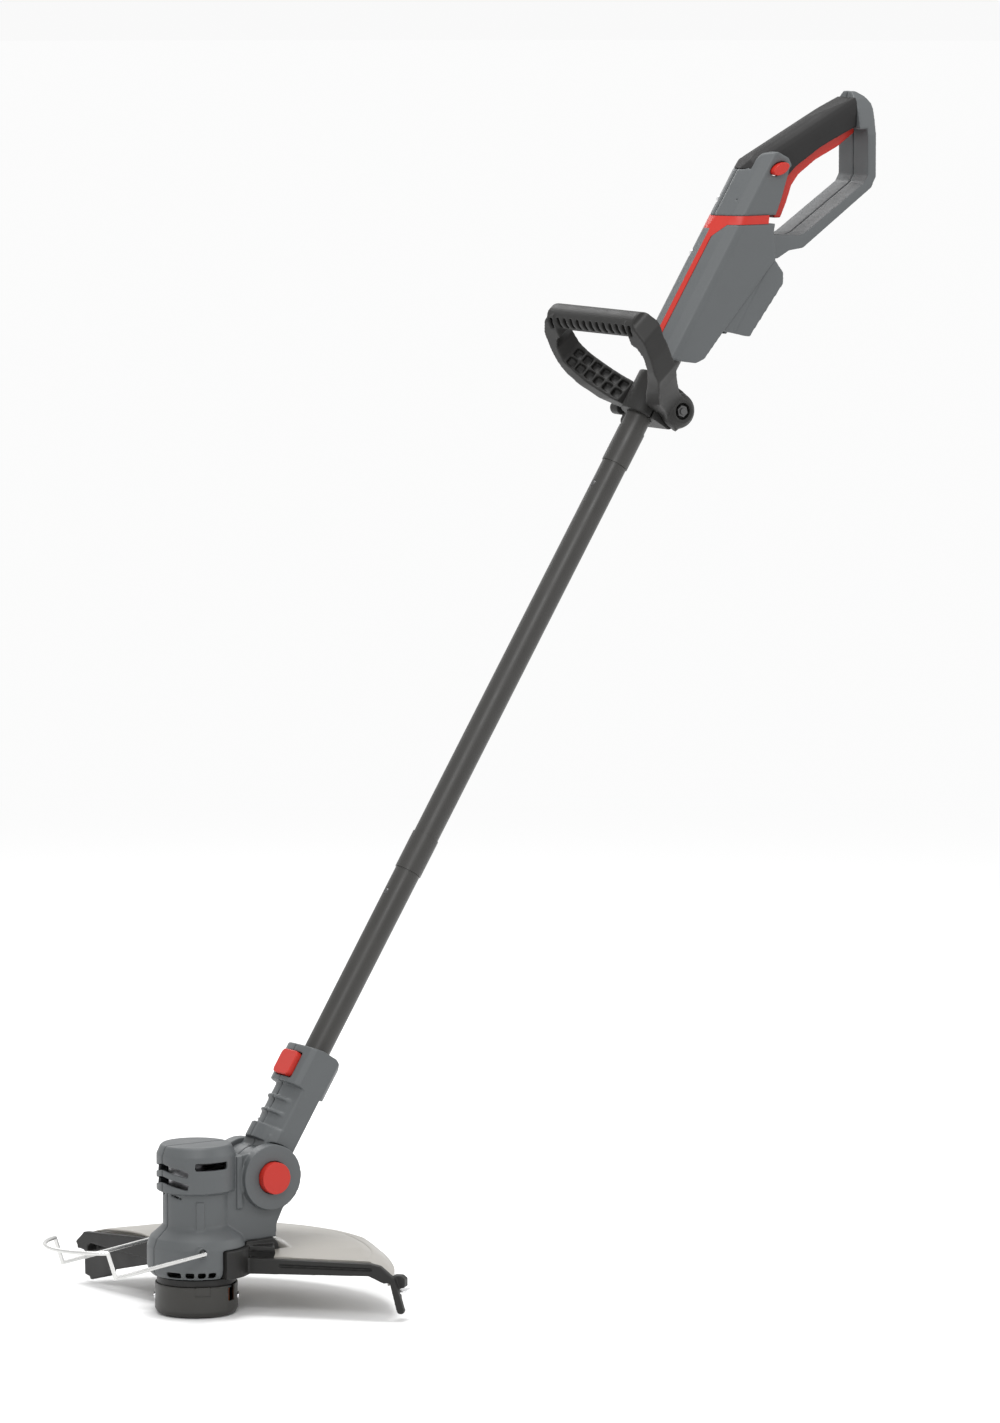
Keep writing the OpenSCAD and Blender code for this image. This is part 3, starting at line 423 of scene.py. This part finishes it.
def line_of(a, b, width):
    """A thin outline along the line from a to b."""
    dx, dz = b[0] - a[0], b[1] - a[1]
    k = width / 2 / math.hypot(dx, dz)
    return [(a[0] - dz * k, a[1] + dx * k), (a[0] + dz * k, a[1] - dx * k),
            (b[0] + dz * k, b[1] - dx * k), (b[0] - dz * k, b[1] + dx * k)]


def joined(obj, others):
    """Adds the closed shells of others to obj; the remesh makes one solid of them."""
    bm = bmesh.new()
    bm.from_mesh(obj.data)
    for other in others:
        bm.from_mesh(other.data)
        bpy.data.objects.remove(other)
    bm.to_mesh(obj.data)
    bm.free()
    return obj


def moulded(name, place=WORLD, voxel=1.0, passes=5, before=(), added=(), after=(), look=None):
    """The look of a moulded part: its solid, with what is added to it and cut from it.

    The rounding works on a grid of voxel millimetres along the axes of place, and more
    passes round more. The cutters in before come ahead of it and those in after follow.
    """
    obj = solid_of(name)
    if before:
        cut(obj, joined(before[0], before[1:]))
    if added:
        joined(obj, added)
    round_off(obj, place, voxel * MM, passes)
    if after:
        cut(obj, joined(after[0], after[1:]))
    return stands_for(obj, name, look=look)


def dress(name, look=None):
    """A CAD node that stays: its material, and smooth shading between its sharp edges."""
    obj = nodes[name]
    forget_normals(obj.data)
    obj.data.materials.clear()
    obj.data.materials.append(materials[look or node_slot[name]])
    obj.data.shade_smooth()
    weld = obj.modifiers.new("weld", "WELD")
    weld.merge_threshold = SAME_POINT
    split = obj.modifiers.new("split", "EDGE_SPLIT")
    split.split_angle = SHARP
    normals = obj.modifiers.new("normals", "WEIGHTED_NORMAL")
    normals.keep_sharp = True


# ---- details of the front handle, in its own frame ----

# Centre of the bar, [x, z], and the direction in which its slots go in
BAR = (4.5, 111)
SLOT_WAY = (-0.88, 0.2)
SLOT_FROM, SLOT_TO = 7, 15
SLOT_LONG, SLOT_HALF_WIDE = 10, 2.7
SLOT_PITCH = 10.9
SLOTS_EACH_SIDE = 6
# Middle line of the pockets in an arm, [y, z], and the plane of their inner face
POCKET_LINE = [(26.5, 32.5), (44, 48), (57, 60), (69, 75)]
ARM_DEPTH = -9.5
POCKET_ROWS = (-5.4, 5.4)
POCKET_HALF = (3.9, 4.3)
POCKET_DEPTH, POCKET_CLEAR = -6, 4
POCKET_START, POCKET_PITCH = 2.0, 10.6


def handle_slots():
    """A row of slots along the front of the bar."""
    ends = [(BAR[0] + SLOT_WAY[0] * r, BAR[1] + SLOT_WAY[1] * r) for r in (SLOT_FROM, SLOT_TO)]
    slot = line_of(*ends, SLOT_LONG)
    centres = [i * SLOT_PITCH for i in range(-SLOTS_EACH_SIDE, SLOTS_EACH_SIDE + 1)]
    return [prisms([slot], y - SLOT_HALF_WIDE, y + SLOT_HALF_WIDE, HANDLE) for y in centres]


def handle_pockets():
    """Two rows of pockets in the inner face of each arm."""
    pockets = []
    half_x, half_z = POCKET_HALF
    for side in (-1, 1):
        left_over = POCKET_START
        for a, b in zip(POCKET_LINE, POCKET_LINE[1:]):
            length = math.hypot(b[0] - a[0], b[1] - a[1])
            ux, uz = (b[0] - a[0]) / length, (b[1] - a[1]) / length
            at = left_over
            while at < length:
                y, z = a[0] + ux * at, a[1] + uz * at
                spot = Matrix(((0, 0, -side, ARM_DEPTH * MM),
                               (side * ux, side * uz, 0, side * y * MM),
                               (uz, -ux, 0, z * MM),
                               (0, 0, 0, 1)))
                for row in POCKET_ROWS:
                    outline = block(-half_x, half_x, row - half_z, row + half_z)
                    pockets.append(prisms([outline], POCKET_DEPTH, POCKET_CLEAR, HANDLE @ spot))
                at += POCKET_PITCH
            left_over = at - length
    return pockets


# ---- the shield of the guard, as one turned sheet ----

# Radius, height, and the share that this point takes of the drop at its angle
SHIELD_PROFILE = [(72, 63, 0), (90, 62.5, 0), (110, 62, 0), (130, 60.2, 0), (150, 58, 0),
                  (157, 57.1, 0.2), (159.2, 56.8, 0.25), (160, 56.1, 0.25), (160.8, 56.7, 0.25),
                  (163, 56.4, 0.3), (169, 55.5, 0.5), (174, 54.9, 0.75), (178, 54, 1), (180.2, 53, 1),
                  (181, 51.6, 1), (181, 45, 1)]
# How far the rim hangs lower, and how far the rear part steps down: angle in degrees, drop
DROPS = [(-46, 14), (-30, 14), (-20, 12), (-10, 8.5), (0, 2.5), (10, 1.5), (50, 1.5), (93, 5)]
STEPS = [(-46, 0), (45, 0), (80, 3.1), (93, 3.1)]
SHIELD_FROM, SHIELD_TO = -46, 93
# The arm of the guard frame along the sheet's first edge, and the facet that rises from it
NEAR_BEAM = math.radians(-48)
BEAM_TOP = 51.5
FACET = math.tan(math.radians(8))
SHEET = 1.9
# What is cut off the sheet: beyond that arm, and where the head stands
BEAM_STRIP = block(-10, 260, 30, 90)
BEAM_STRIP_SIDES = (-40, 7.6)
HEAD_ROOM = block(30, 72.2, 40, 80)
HEAD_ROOM_SIDES = (-30, 30)


def between(table, x):
    """Linear interpolation in a table of (x, value)."""
    for (x0, v0), (x1, v1) in zip(table, table[1:]):
        if x <= x1:
            return v0 + (v1 - v0) * (x - x0) / (x1 - x0)
    return table[-1][1]


def shield_sheet():
    """The sheet between the arms of the guard, with its lowered rim."""
    bm = bmesh.new()
    rows = []
    for i in range(SHIELD_TO - SHIELD_FROM + 1):
        angle = SHIELD_FROM + i
        a = math.radians(angle)
        row = []
        for r, z, share in SHIELD_PROFILE:
            away = r * math.sin(a - NEAR_BEAM)
            z -= share * between(DROPS, angle) + between(STEPS, angle)
            if share < 1 or z > BEAM_TOP:
                z = min(z, BEAM_TOP + away * FACET)
            row.append(bm.verts.new((r * math.cos(a) * MM, r * math.sin(a) * MM, z * MM)))
        rows.append(row)
    for low, high in zip(rows, rows[1:]):
        for k in range(len(low) - 1):
            bm.faces.new((low[k], low[k + 1], high[k + 1], high[k]))
    bmesh.ops.recalc_face_normals(bm, faces=bm.faces)
    if sum(f.normal.z for f in bm.faces) < 0:
        bmesh.ops.reverse_faces(bm, faces=bm.faces)
    mesh = bpy.data.meshes.new("guard_shield")
    bm.to_mesh(mesh)
    bm.free()
    obj = new_object("guard_shield_look", mesh)
    thick = obj.modifiers.new("thick", "SOLIDIFY")
    thick.thickness = SHEET * MM
    thick.offset = -1
    settle(obj)
    strip = Matrix.Rotation(NEAR_BEAM, 4, "Z")
    cut(obj, prisms([BEAM_STRIP], *BEAM_STRIP_SIDES, strip))
    cut(obj, prisms([HEAD_ROOM], *HEAD_ROOM_SIDES))
    obj.data.shade_smooth()
    return obj


# ---- details of the other moulded parts ----

# Half the width of the gap between a left and a right shell
SEAM = 0.3
SEAM_REACH = block(-200, 1000, -10, 1300)
# An upright rib on the front left of the head, and the holes that the wire guard turns in
PILASTER = Matrix.Rotation(math.radians(-114), 4, "Z")
PILASTER_OUTLINE = block(26, 32.4, 75, 106)
PILASTER_HALF = 3.75
WIRE_HOLE = disc(-19, 62, 3.9)
WIRE_HOLE_FROM, WIRE_HOLE_TO = 40.8, 50
# A groove on either flank of the battery bay, in the frame of the shaft
BAY_GROOVE = line_of((36.5, 904), (36.5, 990), 2.2)
BAY_GROOVE_FROM, BAY_GROOVE_TO = 23.6, 30
# A groove along the flank of the near arm of the guard frame
BEAM = Matrix.Rotation(NEAR_BEAM, 4, "Z")
BEAM_GROOVE = line_of((78, 45.6), (166, 46.2), 2.6)
BEAM_GROOVE_SIDES = (-3, 2.2)


def seam():
    """A thin slab in the centre plane, where the left and the right shells meet."""
    return prisms([SEAM_REACH], -SEAM, SEAM)


# ---- the object ----

add_camera()
materials = make_materials()
add_studio()

for side in ("left", "right"):
    moulded("rear_housing_" + side, SHAFT, before=[seam()])
    moulded("coupling_" + side, SHAFT, voxel=0.8, before=[seam()])
moulded("head_shell_left", voxel=0.8, passes=6, before=[seam()],
        after=[prisms([WIRE_HOLE], -WIRE_HOLE_TO, -WIRE_HOLE_FROM)],
        added=[prisms([PILASTER_OUTLINE], -PILASTER_HALF, PILASTER_HALF, PILASTER)])
moulded("head_shell_right", voxel=0.8, passes=6, before=[seam()],
        after=[prisms([WIRE_HOLE], WIRE_HOLE_FROM, WIRE_HOLE_TO)])
moulded("grip_overmould", GRIP, voxel=0.8, passes=4)
moulded("battery_bay", SHAFT,
        before=[prisms([BAY_GROOVE], -BAY_GROOVE_TO, -BAY_GROOVE_FROM, SHAFT),
                prisms([BAY_GROOVE], BAY_GROOVE_FROM, BAY_GROOVE_TO, SHAFT)])
moulded("front_handle", HANDLE, passes=6, before=handle_slots() + handle_pockets())
moulded("clamp_front", SHAFT, voxel=0.8)
moulded("clamp_rear", SHAFT, voxel=0.8)
moulded("clamp_knob", HANDLE, voxel=0.8)
moulded("guard_frame", voxel=0.9, passes=4,
        before=[prisms([BEAM_GROOVE], *BEAM_GROOVE_SIDES, BEAM)])
stands_for(shield_sheet(), "guard_shield")
moulded("trigger", GRIP, voxel=0.7, passes=6)
moulded("edging_button", SHAFT, voxel=0.5)
moulded("tilt_button", voxel=0.5, passes=4)
moulded("lock_off_button", voxel=0.5)
moulded("spool_cap", voxel=0.7, passes=4, look="spool_black")

# Small metal pieces whose look isn't that of their slot
OTHER_LOOKS = {"wire_guard": "wire", "clamp_bolt": "dark_steel", "handle_nut": "dark_steel",
               "snap_button_upper": "dark_steel", "snap_button_lower": "dark_steel"}
replaced = {n for o in bpy.data.objects for n in o.get("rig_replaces", [])}
for name in nodes:
    if name not in replaced:
        dress(name, look=OTHER_LOOKS.get(name))
